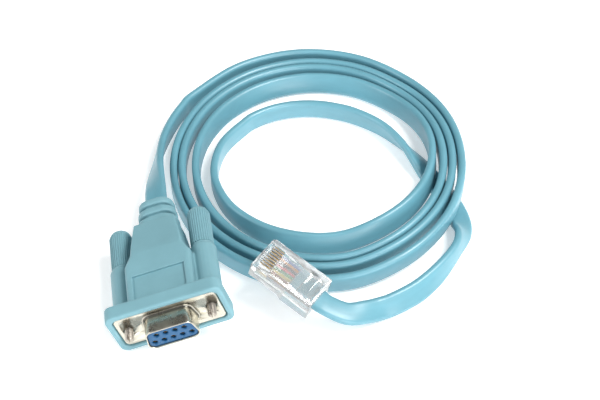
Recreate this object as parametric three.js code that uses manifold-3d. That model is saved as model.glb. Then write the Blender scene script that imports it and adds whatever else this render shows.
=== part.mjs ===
// Console cable: a nine-socket connector with thumbscrews, a coiled flat cable and a clear modular plug.
// Millimetres, +Z up. The connector's mating face looks along -Y and its cable leaves along +Y.
// The origin lies on the floor, under the middle of the connector's box.

import * as THREE from 'three';
import { mergeVertices } from 'three/addons/utils/BufferGeometryUtils.js';
import Module from 'manifold-3d';

const wasm = await Module();
wasm.setup();

// Clearances
const seatGap = 0.3;            // between pieces that touch or sit in each other
const floorGap = 0.15;          // under the lowest edge of the cable

// Connector: flange, face plate and skirt
const screwSpacing = 25;
const plateMargin = 2.9;        // plate outside each screw
const plateHeight = 12.5;
const plateThickness = 0.8;
const plateCorner = 1.6;
const flangeBorder = 2.0;       // moulding around the face plate
const flangeThickness = 4.2;
const flangeCorner = 2.4;
const flangeBevel = 0.4;
const flangeLip = 0.5;          // how far the plate is sunk in the moulding
const skirtEndMargin = 2.625;   // from the long row's end sockets to the skirt's wide, lower corners
const skirtSideMargin = 2.53;   // from a row of sockets to the skirt's long side
const skirtReach = 5.9;
const skirtWall = 0.45;
const skirtCorner = 2.2;
const skirtSlant = 10;          // degrees, each side of the D
const insertRecess = 0.35;      // insert face behind the skirt's edge
const insertRoot = 2.4;         // how deep the insert reaches behind the plate

// Sockets
const socketPitch = 2.77;
const rowSpacing = 2.84;
const longRow = 5;
const socketHole = 1.5;
const socketHoleDepth = 5.2;
const sleeveOuter = 1.2;
const sleeveInner = 0.8;
const sleeveRecess = 0.7;
const sleeveLength = 3.6;
const sleeveEnd = 0.4;          // solid end of each sleeve

// Hood
const hoodHeight = 14.0;
const bodyWidth = 20.4;
const shoulderStart = 17.5;     // along Y, where the body starts to narrow
const shoulderWidth = 16.6;     // where the knobs begin
const neckStart = 33.8;
const neckBaseWidth = 13.2;
const hoodBevel = 1.2;
const taperStart = 21.5;        // along Y, where top and bottom start to slope to the neck
const taperAngle = 8;
const labelWidth = 15.6;
const labelLength = 8.2;
const labelDepth = 0.6;
const labelStart = 5.0;

// Strain relief
const neckRibs = 3;
const ribLength = 2.4;
const ribGap = 1.1;
const ribHeight = 9.2;
const ribTipWidth = 11.0;
const ribRound = 0.42;          // corner radius as a share of the height
const ribBevel = 0.5;
const coreRound = 0.3;
const ribRelief = 1.3;          // how far the core lies under the ribs

// Thumbscrews
const screwDiameter = 2.7;
const screwTipReach = 3.4;      // in front of the face plate
const slotWidth = 0.6;
const slotDepth = 1.0;
const tipChamfer = 0.5;
const earDiameter = 8.0;
const earEnd = 21.2;
const knobDiameter = 7.0;
const knobLength = 15;
const knobRibs = 18;
const knobRibDepth = 0.3;
const knobCollar = 0.8;         // the plain band next to the ear
const knobDome = 1.6;
const domeSteps = [[0.88, 0.35], [0.6, 0]]; // shares of the grip's radius, and of the dome left to rise
const knobSeat = 11;            // how deep the screw reaches into the knob

// Lie of the connector: the stiff flat cable holds it up on one long edge
const connectorRoll = 15.75;    // degrees about Y, +X side raised

// Cable
const cableWidth = 7.0;
const cableThickness = 2.5;
const edgeSides = 4;            // facets on each rounded edge

// Coil: distance from its centre to the cable's middle, at left, far, right and near side of each turn
const coilCentre = [55, 60];
const coilStartAngle = 135;     // degrees, counted anticlockwise from +X
const coilTurns = 4;
const coilSteps = 16;           // for each turn
const coilReach = {
  left: [53.4, 48.5, 45.7, 41.3, 35.6],
  far: [53.6, 48.6, 45.8, 40.6, 28.6],
  right: [44.5, 41.6, 38.7, 35.6],
  near: [48.2, 43.4, 40.4, 32.3],
};
const crossingLift = 3.1;       // the turns ride over the cable's flat crossing
const crossingFrom = 2;         // degrees, where the raised stretch starts and ends
const crossingTo = -52;
const crossingRamp = 45;
const innerLean = 35;           // degrees: the innermost turn leans, its upper edge towards +Y
const leanFrom = 2.7;           // in turns of the coil
const leanTo = 3.66;
const leanRamp = 0.35;

// Cable where it isn't coiled: x, y, height of its middle, and the turn of its width from level
const leadPoints = [
  [0.1, 49.5, 11.3, 18],
  [0.4, 55.0, 10.0, 32],
  [0.9, 61.0, 8.2, 50],
  [1.8, 67.5, 6.4, 68],
  [3.2, 74.0, 4.9, 80],
  [5.4, 80.8, 4.0, 88],
  [8.6, 87.6, 3.65, 90],
  [12.4, 93.4, 3.65, 90],
];
const innerPassPoints = [
  [36.2, 85.0, 90],
  [40.6, 86.7, 90],
  [45.4, 87.7, 90],
  [50.5, 87.9, 90],
  [56.0, 87.2, 90],
  [61.8, 85.4, 90],
  [69.0, 81.6, 90],
  [76.8, 74.6, 84],
  [82.4, 66.0, 66],
  [85.9, 58.6, 34],
  [88.6, 52.0, 6],
  [91.0, 45.6, 0],
  [92.8, 39.2, 0],
  [93.7, 33.2, 0],
  [93.4, 28.2, 22],
];
const tailPoints = [
  [92.2, 23.8, 58],
  [89.8, 19.6, 80],
  [86.0, 15.0, 76],
  [80.6, 9.8, 62],
  [74.0, 5.2, 50],
  [66.6, 2.0, 45],
  [62.0, 0.8, 42],
];
const plugLeadPoints = [
  [56.8, -0.9, 4.4, 34],
  [51.0, -1.8, 6.1, 14],
];

// Clear plug
const plugWidth = 11.68;
const plugLength = 21.46;
const plugNoseHeight = 6.5;
const plugRearHeight = 8.0;
const plugStep = 9.5;           // length of the deeper rear part
const plugBevel = 0.35;
const plugTopCentre = [36.6, 8.7, 15.7];
const plugYaw = 46;             // degrees, from +Y towards -X
const plugPitch = 14;           // nose up
const plugRollAngle = -2;

// Inside of the plug
const contactCount = 8;
const contactPitch = 1.02;
const contactWidth = 0.36;
const contactLength = 3.6;
const contactHeight = 2.9;
const contactSunk = 0.5;
const contactSideGap = 0.12;
const contactFromNose = 1.9;
const wireDiameter = 0.86;
const wireDepth = 4.2;          // middle of the wires and of the jacket, under the top face
const wireGap = 0.12;
const jacketLength = 9.2;       // cable inside the plug
const jacketStraight = 2.5;     // and straight behind it
const clampStart = 3.6;         // from the rear
const clampLength = 2.6;
const clampDepth = 1.3;
const clampWidth = 8.4;

// Latch
const latchRootWidth = 6.2;
const latchTabWidth = 3.2;
const latchLength = 15.2;
const latchShoulder = 8.2;      // from the root to the narrow tab
const latchSlope = 1.0;         // length of the sloped shoulder
const latchThickness = 1.1;
const latchAngle = 20;
const latchFromNose = 2.4;

// Worked-out sizes
const deg = Math.PI / 180;
const plateWidth = screwSpacing + 2 * plateMargin;
const skirtWidth = (longRow - 1) * socketPitch + 2 * skirtEndMargin;
const skirtHeight = rowSpacing + 2 * skirtSideMargin;
const flangeWidth = plateWidth + 2 * flangeBorder;
const flangeHeight = plateHeight + 2 * flangeBorder;
const screwX = screwSpacing / 2;
const neckEnd = neckStart + neckRibs * ribLength + (neckRibs - 1) * ribGap;
const cableStart = neckEnd + seatGap;
const connectorMiddleY = (neckEnd - skirtReach) / 2;
const axisHeight = flangeCorner + (flangeWidth / 2 - flangeCorner) * Math.sin(connectorRoll * deg)
  + (flangeHeight / 2 - flangeCorner) * Math.cos(connectorRoll * deg);
const knobStart = earEnd + seatGap;
const knobEnd = knobStart + knobLength;
const screwBore = screwDiameter + 2 * seatGap;

function solidOf(geometry) {
  const bare = geometry.index ? geometry.toNonIndexed() : geometry.clone();
  bare.deleteAttribute('normal');
  bare.deleteAttribute('uv');
  const merged = mergeVertices(bare, 1e-4);
  return new wasm.Manifold(new wasm.Mesh({
    numProp: 3,
    vertProperties: new Float32Array(merged.attributes.position.array),
    triVerts: new Uint32Array(merged.index.array),
  }));
}

function geometryOf(solid) {
  const mesh = solid.getMesh();
  const geometry = new THREE.BufferGeometry();
  geometry.setAttribute('position', new THREE.BufferAttribute(mesh.vertProperties, 3));
  geometry.setIndex(new THREE.BufferAttribute(mesh.triVerts, 1));
  return geometry;
}

function finish(colour, roughness, metalness = 0, opacity = 1) {
  return new THREE.MeshStandardMaterial({
    color: new THREE.Color(...colour), roughness, metalness, opacity, transparent: opacity < 1,
  });
}

const hoodBlue = finish([0.24, 0.51, 0.59], 0.5);
const cableBlue = finish([0.17, 0.46, 0.56], 0.42);
const insertBlue = finish([0.06, 0.27, 0.64], 0.4);
const platedNickel = finish([0.8, 0.74, 0.66], 0.3, 1);
const screwSteel = finish([0.62, 0.58, 0.52], 0.3, 1);
const socketGold = finish([0.75, 0.58, 0.3], 0.3, 1);
const clearPlastic = finish([0.95, 0.97, 0.97], 0.08, 0, 0.35);

function mesh(name, geometry, material, parent) {
  const node = new THREE.Mesh(geometry, material);
  node.name = name;
  parent.add(node);
  return node;
}

// A rectangle with rounded corners, centred on the origin
function roundedRectangle(width, height, radius) {
  const x = width / 2;
  const y = height / 2;
  const shape = new THREE.Shape();
  shape.moveTo(-x + radius, -y);
  shape.lineTo(x - radius, -y);
  shape.absarc(x - radius, -y + radius, radius, -Math.PI / 2, 0, false);
  shape.lineTo(x, y - radius);
  shape.absarc(x - radius, y - radius, radius, 0, Math.PI / 2, false);
  shape.lineTo(-x + radius, y);
  shape.absarc(-x + radius, y - radius, radius, Math.PI / 2, Math.PI, false);
  shape.lineTo(-x, -y + radius);
  shape.absarc(-x + radius, -y + radius, radius, Math.PI, 1.5 * Math.PI, false);
  return shape;
}

// The D of the skirt and insert: wide below, both sides slanted, all corners round
function dOutline(width, height, radius) {
  const slant = Math.tan(skirtSlant * deg) * height;
  const corners = [
    [-width / 2, -height / 2], [width / 2, -height / 2],
    [width / 2 - slant, height / 2], [-width / 2 + slant, height / 2],
  ].map(([x, y]) => new THREE.Vector2(x, y));
  const shape = new THREE.Shape();
  corners.forEach((corner, i) => {
    const before = corners[(i + 3) % 4].clone().sub(corner).normalize();
    const after = corners[(i + 1) % 4].clone().sub(corner).normalize();
    const half = Math.acos(before.dot(after)) / 2;
    const setback = radius / Math.tan(half);
    const start = corner.clone().addScaledVector(before, setback);
    const end = corner.clone().addScaledVector(after, setback);
    const middle = before.clone().add(after).normalize().multiplyScalar(radius / Math.sin(half)).add(corner);
    if (i === 0) shape.moveTo(start.x, start.y);
    else shape.lineTo(start.x, start.y);
    const from = Math.atan2(start.y - middle.y, start.x - middle.x);
    const to = Math.atan2(end.y - middle.y, end.x - middle.x);
    shape.absarc(middle.x, middle.y, radius, from, to, false);
  });
  return shape;
}

// Extrudes an outline drawn in X and Z along +Y, from one Y to another
function alongY(shape, from, to, options = {}) {
  const bevel = options.bevel ?? 0;
  const geometry = new THREE.ExtrudeGeometry(shape, {
    depth: to - from - 2 * bevel, bevelEnabled: bevel > 0, bevelSize: bevel, bevelThickness: bevel,
    bevelOffset: -bevel, bevelSegments: 2, curveSegments: options.curveSegments ?? 4,
  });
  geometry.rotateX(Math.PI / 2);
  geometry.translate(0, to - bevel, 0);
  return geometry;
}

function roundBar(diameter, from, to, x = 0, z = 0, sides = 24) {
  const geometry = new THREE.CylinderGeometry(diameter / 2, diameter / 2, to - from, sides);
  geometry.translate(x, (from + to) / 2, z);
  return geometry;
}

function block(x0, x1, y0, y1, z0, z1) {
  const geometry = new THREE.BoxGeometry(x1 - x0, y1 - y0, z1 - z0);
  geometry.translate((x0 + x1) / 2, (y0 + y1) / 2, (z0 + z1) / 2);
  return geometry;
}

// Rows of sockets: five in the wide lower row, four in the upper row
function socketPlaces() {
  const places = [];
  for (const [count, z] of [[longRow - 1, rowSpacing / 2], [longRow, -rowSpacing / 2]]) {
    for (let i = 0; i < count; i += 1) places.push([(i - (count - 1) / 2) * socketPitch, z]);
  }
  return places;
}

const connector = new THREE.Group();
connector.rotation.y = -connectorRoll * deg;
connector.position.z = axisHeight;

// Hood: flange, tapering body, ears, ribbed strain relief, in one moulding
function hoodGeometry() {
  const flange = alongY(
    roundedRectangle(flangeWidth, flangeHeight, flangeCorner), -flangeLip, flangeThickness, { bevel: flangeBevel },
  );
  const half = bodyWidth / 2 - hoodBevel;
  const outline = new THREE.Shape();
  outline.moveTo(half, 0);
  outline.lineTo(half, shoulderStart);
  outline.lineTo(shoulderWidth / 2 - hoodBevel, earEnd);
  outline.lineTo(neckBaseWidth / 2 - hoodBevel, neckStart - hoodBevel);
  outline.lineTo(-neckBaseWidth / 2 + hoodBevel, neckStart - hoodBevel);
  outline.lineTo(-shoulderWidth / 2 + hoodBevel, earEnd);
  outline.lineTo(-half, shoulderStart);
  outline.lineTo(-half, 0);
  const body = new THREE.ExtrudeGeometry(outline, {
    depth: hoodHeight - 2 * hoodBevel, bevelEnabled: true, bevelSize: hoodBevel, bevelThickness: hoodBevel,
    bevelSegments: 3, curveSegments: 4,
  });
  body.translate(0, 0, -hoodHeight / 2 + hoodBevel);
  let tapered = solidOf(body).subtract(
    solidOf(block(-flangeWidth, flangeWidth, -flangeWidth, plateThickness, -flangeWidth, flangeWidth)),
  );
  for (const side of [-1, 1]) {
    const cut = block(-bodyWidth, bodyWidth, 0, neckEnd, -hoodHeight / 2, hoodHeight / 2);
    cut.translate(0, 0, side * hoodHeight / 2);
    cut.rotateX(-side * taperAngle * deg);
    cut.translate(0, taperStart, side * hoodHeight / 2);
    tapered = tapered.subtract(solidOf(cut));
  }
  let solid = solidOf(flange).add(tapered);
  for (const side of [-1, 1]) {
    solid = solid.add(solidOf(roundBar(earDiameter, flangeThickness / 2, earEnd, side * screwX)));
  }
  for (let i = 0; i < neckRibs; i += 1) {
    const share = i / (neckRibs - 1);
    const width = THREE.MathUtils.lerp(neckBaseWidth - ribBevel, ribTipWidth, share);
    const start = neckStart + i * (ribLength + ribGap);
    const rib = roundedRectangle(width, ribHeight, ribHeight * ribRound);
    solid = solid.add(solidOf(alongY(rib, start, start + ribLength, { bevel: ribBevel })));
  }
  const core = roundedRectangle(ribTipWidth - 2 * ribRelief, ribHeight - 2 * ribRelief, ribHeight * coreRound);
  solid = solid.add(solidOf(alongY(core, neckStart - ribLength, neckEnd - ribBevel)));
  const platePocket = roundedRectangle(plateWidth + 2 * seatGap, plateHeight + 2 * seatGap, plateCorner + seatGap);
  solid = solid.subtract(solidOf(alongY(platePocket, -flangeLip - 1, plateThickness)));
  const insertPocket = dOutline(skirtWidth + 2 * seatGap, skirtHeight + 2 * seatGap, skirtCorner + seatGap);
  solid = solid.subtract(solidOf(alongY(insertPocket, -1, plateThickness + insertRoot + seatGap)));
  for (const side of [-1, 1]) {
    solid = solid.subtract(solidOf(roundBar(screwBore, -1, earEnd + 1, side * screwX, 0, 16)));
    const run = roundBar(knobDiameter + 2 * seatGap, earEnd, knobEnd + 1, side * screwX, 0, 24);
    solid = solid.subtract(solidOf(run));
  }
  const label = block(
    -labelWidth / 2, labelWidth / 2, labelStart, labelStart + labelLength,
    hoodHeight / 2 - labelDepth, hoodHeight / 2 + 1,
  );
  return geometryOf(solid.subtract(solidOf(label)));
}

// Face plate and skirt, one pressing
function shellGeometry() {
  const plate = solidOf(alongY(roundedRectangle(plateWidth, plateHeight, plateCorner), 0, plateThickness));
  const skirt = solidOf(alongY(
    dOutline(skirtWidth, skirtHeight, skirtCorner), -skirtReach, plateThickness / 2, { curveSegments: 5 },
  ));
  const opening = solidOf(alongY(
    dOutline(skirtWidth - 2 * skirtWall, skirtHeight - 2 * skirtWall, skirtCorner - skirtWall),
    -skirtReach - 1, plateThickness + 1, { curveSegments: 5 },
  ));
  let solid = plate.add(skirt).subtract(opening);
  for (const side of [-1, 1]) {
    solid = solid.subtract(solidOf(roundBar(screwBore, -1, plateThickness + 1, side * screwX, 0, 16)));
  }
  return geometryOf(solid);
}

const insertFront = -skirtReach + insertRecess;

function insertGeometry() {
  const shrink = 2 * (skirtWall + seatGap / 2);
  const outline = dOutline(skirtWidth - shrink, skirtHeight - shrink, skirtCorner - skirtWall);
  let solid = solidOf(alongY(outline, insertFront, plateThickness + insertRoot, { curveSegments: 5 }));
  for (const [x, z] of socketPlaces()) {
    const hole = roundBar(socketHole, insertFront - 1, insertFront + socketHoleDepth, x, z, 12);
    solid = solid.subtract(solidOf(hole));
  }
  return geometryOf(solid);
}

function sleeveGeometry(x, z) {
  const start = insertFront + sleeveRecess;
  const outer = solidOf(roundBar(sleeveOuter, start, start + sleeveLength, x, z, 12));
  const inner = solidOf(roundBar(sleeveInner, start - 1, start + sleeveLength - sleeveEnd, x, z, 12));
  return geometryOf(outer.subtract(inner));
}

// Thumb knob: ribbed grip, plain collar by the ear, round end, blind bore for its screw
function knobGeometry(x) {
  const grip = new THREE.Shape();
  for (let i = 0; i < knobRibs * 2; i += 1) {
    const radius = knobDiameter / 2 - (i % 2) * knobRibDepth;
    const angle = (i / (knobRibs * 2)) * 2 * Math.PI;
    const point = [radius * Math.cos(angle), radius * Math.sin(angle)];
    if (i === 0) grip.moveTo(...point);
    else grip.lineTo(...point);
  }
  const gripSolid = solidOf(alongY(grip, knobStart + knobCollar / 2, knobEnd - knobDome));
  const inner = knobDiameter / 2 - knobRibDepth;
  const profile = [
    [0, knobStart], [inner, knobStart], [inner, knobEnd - knobDome],
    ...domeSteps.map(([share, left]) => [inner * share, knobEnd - knobDome * left]), [0, knobEnd],
  ].map(([r, y]) => new THREE.Vector2(r, y));
  const core = solidOf(new THREE.LatheGeometry(profile, 24));
  const bore = solidOf(roundBar(screwBore, knobStart - 1, knobStart + knobSeat + seatGap, 0, 0, 16));
  const geometry = geometryOf(gripSolid.add(core).subtract(bore));
  geometry.translate(x, 0, 0);
  return geometry;
}

// Screw with a slotted tip in front of the face plate
function screwGeometry(x) {
  const tip = -screwTipReach;
  const profile = [
    [0, tip], [screwDiameter / 2 - tipChamfer, tip], [screwDiameter / 2, tip + tipChamfer],
    [screwDiameter / 2, knobStart + knobSeat], [0, knobStart + knobSeat],
  ].map(([r, y]) => new THREE.Vector2(r, y));
  const shank = solidOf(new THREE.LatheGeometry(profile, 16));
  const slot = block(-slotWidth / 2, slotWidth / 2, tip - 1, tip + slotDepth, -screwDiameter, screwDiameter);
  const geometry = geometryOf(shank.subtract(solidOf(slot)));
  geometry.translate(x, 0, 0);
  return geometry;
}

mesh('db9_hood', hoodGeometry(), hoodBlue, connector);
mesh('db9_shell', shellGeometry(), platedNickel, connector);
mesh('db9_insert', insertGeometry(), insertBlue, connector);
socketPlaces().forEach(([x, z], i) => {
  mesh(`socket_contact_${i + 1}`, sleeveGeometry(x, z), socketGold, connector);
});
for (const [side, x] of [['left', -screwX], ['right', screwX]]) {
  mesh(`${side}_knob`, knobGeometry(x), hoodBlue, connector);
  mesh(`${side}_screw`, screwGeometry(x), screwSteel, connector);
}

// Plug frame: X across the wires, Y towards the nose, Z out of the contact side, origin on the top face
const plug = new THREE.Group();
plug.position.set(...plugTopCentre);
plug.rotation.order = 'ZXY';
plug.rotation.set(plugPitch * deg, plugRollAngle * deg, plugYaw * deg);
plug.updateMatrix();

const plugRear = -plugLength / 2;
const plugNose = plugLength / 2;
const jacketEnd = plugRear + jacketLength;
const contactX = (i) => (i - (contactCount - 1) / 2) * contactPitch;
const contactFront = plugNose - contactFromNose;
const contactBack = contactFront - contactLength;
const wireTop = -wireDepth + wireDiameter / 2;

function plugBodyGeometry() {
  const side = new THREE.Shape();
  const slopeLength = plugRearHeight - plugNoseHeight;
  side.moveTo(plugRear + plugBevel, -plugRearHeight + plugBevel);
  side.lineTo(plugRear + plugStep, -plugRearHeight + plugBevel);
  side.lineTo(plugRear + plugStep + slopeLength, -plugNoseHeight + plugBevel);
  side.lineTo(plugNose - plugBevel, -plugNoseHeight + plugBevel);
  side.lineTo(plugNose - plugBevel, -3 * plugBevel);
  side.lineTo(plugNose - 3 * plugBevel, -plugBevel);
  side.lineTo(plugRear + plugBevel, -plugBevel);
  const body = new THREE.ExtrudeGeometry(side, {
    depth: plugWidth - 2 * plugBevel, bevelEnabled: true, bevelSize: plugBevel, bevelThickness: plugBevel,
    bevelSegments: 1,
  });
  // Drawn with Y and Z in the shape's plane: the extrusion's own Z becomes X
  body.applyMatrix4(new THREE.Matrix4().set(
    0, 0, 1, -plugWidth / 2 + plugBevel,
    1, 0, 0, 0,
    0, 1, 0, 0,
    0, 0, 0, 1,
  ));
  let solid = solidOf(body);
  const halfJacket = cableWidth / 2 + seatGap;
  const jacketHalfHeight = cableThickness / 2 + seatGap;
  solid = solid.subtract(solidOf(block(
    -halfJacket, halfJacket, plugRear - 1, jacketEnd + seatGap,
    -wireDepth - jacketHalfHeight, -wireDepth + jacketHalfHeight,
  )));
  const halfWires = contactX(contactCount - 1) + wireDiameter / 2 + wireGap;
  solid = solid.subtract(solidOf(block(
    -halfWires, halfWires, jacketEnd, contactFront + wireGap,
    -wireDepth - wireDiameter / 2 - wireGap, wireTop + wireGap,
  )));
  for (let i = 0; i < contactCount; i += 1) {
    const half = contactWidth / 2 + contactSideGap;
    solid = solid.subtract(solidOf(block(
      contactX(i) - half, contactX(i) + half, contactBack - contactSideGap, contactFront + contactSideGap,
      wireTop, 1,
    )));
  }
  const clampEnd = plugRear + clampStart + clampLength;
  solid = solid.subtract(solidOf(block(
    -clampWidth / 2, clampWidth / 2, plugRear + clampStart, clampEnd, -clampDepth, 1,
  )));
  return geometryOf(solid);
}

function latchGeometry() {
  const tab = new THREE.Shape();
  tab.moveTo(-latchRootWidth / 2, 0);
  tab.lineTo(-latchRootWidth / 2, -latchShoulder);
  tab.lineTo(-latchTabWidth / 2, -latchShoulder - latchSlope);
  tab.lineTo(-latchTabWidth / 2, -latchLength);
  tab.lineTo(latchTabWidth / 2, -latchLength);
  tab.lineTo(latchTabWidth / 2, -latchShoulder - latchSlope);
  tab.lineTo(latchRootWidth / 2, -latchShoulder);
  tab.lineTo(latchRootWidth / 2, 0);
  const geometry = new THREE.ExtrudeGeometry(tab, { depth: latchThickness, bevelEnabled: false });
  geometry.translate(0, 0, -latchThickness);
  geometry.rotateX(latchAngle * deg);
  geometry.translate(0, plugNose - latchFromNose, -plugNoseHeight - seatGap);
  return geometry;
}

mesh('rj45_body', plugBodyGeometry(), clearPlastic, plug);
mesh('rj45_latch', latchGeometry(), clearPlastic, plug);
for (let i = 0; i < contactCount; i += 1) {
  const blade = block(
    contactX(i) - contactWidth / 2, contactX(i) + contactWidth / 2, contactBack, contactFront,
    -contactSunk - contactHeight, -contactSunk,
  );
  mesh(`rj45_contact_${i + 1}`, blade, socketGold, plug);
}
const wireColours = [
  [0.75, 0.75, 0.72], [0.45, 0.22, 0.08], [0.9, 0.78, 0.15], [0.12, 0.5, 0.2],
  [0.75, 0.1, 0.12], [0.08, 0.08, 0.09], [0.85, 0.4, 0.12], [0.1, 0.25, 0.7],
];
wireColours.forEach((colour, i) => {
  const wire = roundBar(
    wireDiameter, jacketEnd + seatGap, contactFront, contactX(i), -wireDepth, 8,
  );
  mesh(`conductor_${i + 1}`, wire, finish(colour, 0.5), plug);
});

// Height of the cable's middle above the floor when its width is turned by an angle
function restingHeight(turn) {
  const flat = (cableWidth - cableThickness) / 2;
  return flat * Math.abs(Math.sin(turn * deg)) + cableThickness / 2 + floorGap;
}

function smooth(value) {
  const t = THREE.MathUtils.clamp(value, 0, 1);
  return t * t * (3 - 2 * t);
}

// How far the coil's turns are raised at an angle where the cable passes under them
function hump(angle) {
  const wrapped = THREE.MathUtils.euclideanModulo(angle + 180, 360) - 180;
  const rise = smooth((crossingFrom + crossingRamp - wrapped) / crossingRamp);
  const fall = smooth((wrapped - crossingTo + crossingRamp) / crossingRamp);
  return crossingLift * Math.min(rise, fall);
}

// How far the cable's width leans from upright in the innermost turn
function lean(turns) {
  const strength = smooth((turns - leanFrom) / leanRamp) * (1 - smooth((turns - leanTo) / leanRamp));
  return innerLean * strength * Math.sin((coilStartAngle - turns * 360) * deg);
}

// Radius of the winding, by turns counted clockwise from the left side
function coilRadius(turn) {
  const sides = [coilReach.left, coilReach.far, coilReach.right, coilReach.near];
  const reach = (quarter) => sides[quarter % 4][Math.min(Math.floor(quarter / 4), sides[quarter % 4].length - 1)];
  const quarters = turn * 4;
  const index = Math.floor(quarters);
  const t = quarters - index;
  const [a, b, c, d] = [-1, 0, 1, 2].map((step) => reach(Math.max(index + step, 0)));
  return 0.5 * (2 * b + (c - a) * t + (2 * a - 5 * b + 4 * c - d) * t * t + (3 * b - a - 3 * c + d) * t * t * t);
}

// Stations of the cable: its middle and the turn of its width
function cableStations() {
  const stations = [];
  const station = (x, y, z, turn) => stations.push({ point: new THREE.Vector3(x, y, z), turn });
  station(0, cableStart, axisHeight, connectorRoll);
  for (const [x, y, z, turn] of leadPoints) station(x, y, z, turn);
  for (let i = 0; i <= coilTurns * coilSteps; i += 1) {
    const turns = i / coilSteps;
    const angle = coilStartAngle - turns * 360;
    const radius = coilRadius(turns + (180 - coilStartAngle) / 360);
    const turn = 90 + lean(turns);
    station(
      coilCentre[0] + radius * Math.cos(angle * deg), coilCentre[1] + radius * Math.sin(angle * deg),
      restingHeight(turn) + hump(angle), turn,
    );
  }
  for (const [x, y, turn] of [...innerPassPoints, ...tailPoints]) station(x, y, restingHeight(turn), turn);
  for (const [x, y, z, turn] of plugLeadPoints) station(x, y, z, turn);
  for (const depth of [-jacketStraight, 0, jacketLength]) {
    const end = new THREE.Vector3(0, plugRear + depth, -wireDepth).applyMatrix4(plug.matrix);
    station(end.x, end.y, end.z, -plugRollAngle);
  }
  return stations;
}

// A route whose section keeps the given turn at each station
class FlatCableRoute extends THREE.Curve {
  constructor(stations) {
    super();
    this.stations = stations;
  }

  getPoint(t) {
    const last = this.stations.length - 1;
    const index = Math.min(Math.floor(t * last), last - 1);
    return this.stations[index].point.clone().lerp(this.stations[index + 1].point, t * last - index);
  }

  getSpacedPoints() {
    return this.stations.map(({ point }) => point.clone());
  }

  computeFrenetFrames() {
    const tangents = [];
    const normals = [];
    const binormals = [];
    const last = this.stations.length - 1;
    this.stations.forEach(({ turn }, i) => {
      const ahead = this.stations[Math.min(i + 1, last)].point.clone().sub(this.stations[i].point).normalize();
      const behind = this.stations[i].point.clone().sub(this.stations[Math.max(i - 1, 0)].point).normalize();
      const tangent = ahead.add(behind).normalize();
      const right = new THREE.Vector3().crossVectors(tangent, new THREE.Vector3(0, 0, 1)).normalize();
      const up = new THREE.Vector3().crossVectors(right, tangent);
      const width = right.multiplyScalar(Math.cos(turn * deg)).addScaledVector(up, Math.sin(turn * deg));
      tangents.push(tangent);
      normals.push(width);
      binormals.push(new THREE.Vector3().crossVectors(tangent, width));
    });
    return { tangents, normals, binormals };
  }
}

function cableGeometry() {
  const radius = cableThickness / 2;
  const flat = (cableWidth - cableThickness) / 2;
  const section = new THREE.Shape();
  for (const side of [1, -1]) {
    for (let i = 0; i <= edgeSides; i += 1) {
      const angle = (i / edgeSides - side / 2) * Math.PI;
      const point = [side * flat + radius * Math.cos(angle), radius * Math.sin(angle)];
      if (side === 1 && i === 0) section.moveTo(...point);
      else section.lineTo(...point);
    }
  }
  const stations = cableStations();
  return new THREE.ExtrudeGeometry(section, {
    steps: stations.length - 1, extrudePath: new FlatCableRoute(stations), bevelEnabled: false,
  });
}

const cable = new THREE.Group();
mesh('flat_cable', cableGeometry(), cableBlue, cable);

const consoleCable = new THREE.Group();
consoleCable.position.y = -connectorMiddleY;
consoleCable.add(connector, cable, plug);

export default consoleCable;
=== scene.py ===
"""Console cable on a pale floor: moulded connector, coiled flat cable and clear modular plug."""
import math

import bmesh
import bpy
from mathutils import Matrix, Vector


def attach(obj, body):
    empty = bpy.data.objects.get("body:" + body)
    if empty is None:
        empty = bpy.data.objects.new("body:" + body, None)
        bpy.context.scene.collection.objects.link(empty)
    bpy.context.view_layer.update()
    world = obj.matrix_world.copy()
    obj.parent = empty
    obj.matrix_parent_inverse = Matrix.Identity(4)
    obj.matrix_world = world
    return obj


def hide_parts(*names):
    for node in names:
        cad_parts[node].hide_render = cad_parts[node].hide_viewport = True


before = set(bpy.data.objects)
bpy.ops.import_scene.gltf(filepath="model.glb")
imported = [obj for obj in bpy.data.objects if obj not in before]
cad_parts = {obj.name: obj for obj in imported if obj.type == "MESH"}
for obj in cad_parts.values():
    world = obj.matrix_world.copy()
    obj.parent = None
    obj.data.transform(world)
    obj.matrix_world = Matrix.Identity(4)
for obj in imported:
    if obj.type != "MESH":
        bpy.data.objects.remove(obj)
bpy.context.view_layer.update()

MM = 0.001


def mm(*values):
    """A point or length given in millimetres, in metres."""
    return Vector(values) * MM if len(values) > 1 else values[0] * MM


# Connector, in millimetres in its own frame: X across, Y from the face plate to the cable, Z up.
# Three values are width, height and thickness or depth, and for the label width, length and depth
SCREW_X = 12.5
PLATE = (30.8, 12.5, 0.8)
PLATE_CORNER = 1.6
PLATE_BEVEL = 0.18
SKIRT = (16.33, 7.9, 5.9)
SKIRT_WALL = 0.45
SKIRT_CORNER = 2.2
SKIRT_SLANT = math.radians(10)
SKIRT_FILLET = 0.7
SKIRT_ARC_STEPS = 6
SKIRT_INNER_RING = -1
INSERT_GAP = 0.15
INSERT_BEVEL = 0.3
INSERT_SHOULDER = 0.3
INSERT_FRONT = -5.55
INSERT_BACK = 3.2
SOCKETS_IN_ROW = (4, 5)
SOCKET_PITCH = 2.77
SOCKET_ROWS = 2.84
SOCKET_HOLE = 1.5
SOCKET_DEPTH = 5.2
SOCKET_FLARE = 0.25
SOCKET_SIDES = 24
SCREW_BORE = 3.3
SCREW_DIAMETER = 2.7
SCREW_TIP = -3.4
SCREW_CHAMFER = 0.5
SCREW_SIDES = 40
THREAD_PITCH = 0.635
THREAD_DEPTH = 0.28
THREAD_STEPS = 10
THREAD_END = 3.0
SLOT_WIDTH = 0.6
SLOT_DEPTH = 1.3
KNOB_DIAMETER = 7.0
KNOB_START = 21.5
KNOB_END = 36.5
KNOB_SINK = 1
SHANK_START = 3.2
SHANK_END = KNOB_START + 11
GRIP_INSET = 0.22
DOME_LENGTH = 2.0
DOME_POWER = 0.3
DOME_STEPS = 8
DOME_TIP = 0.02
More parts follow.
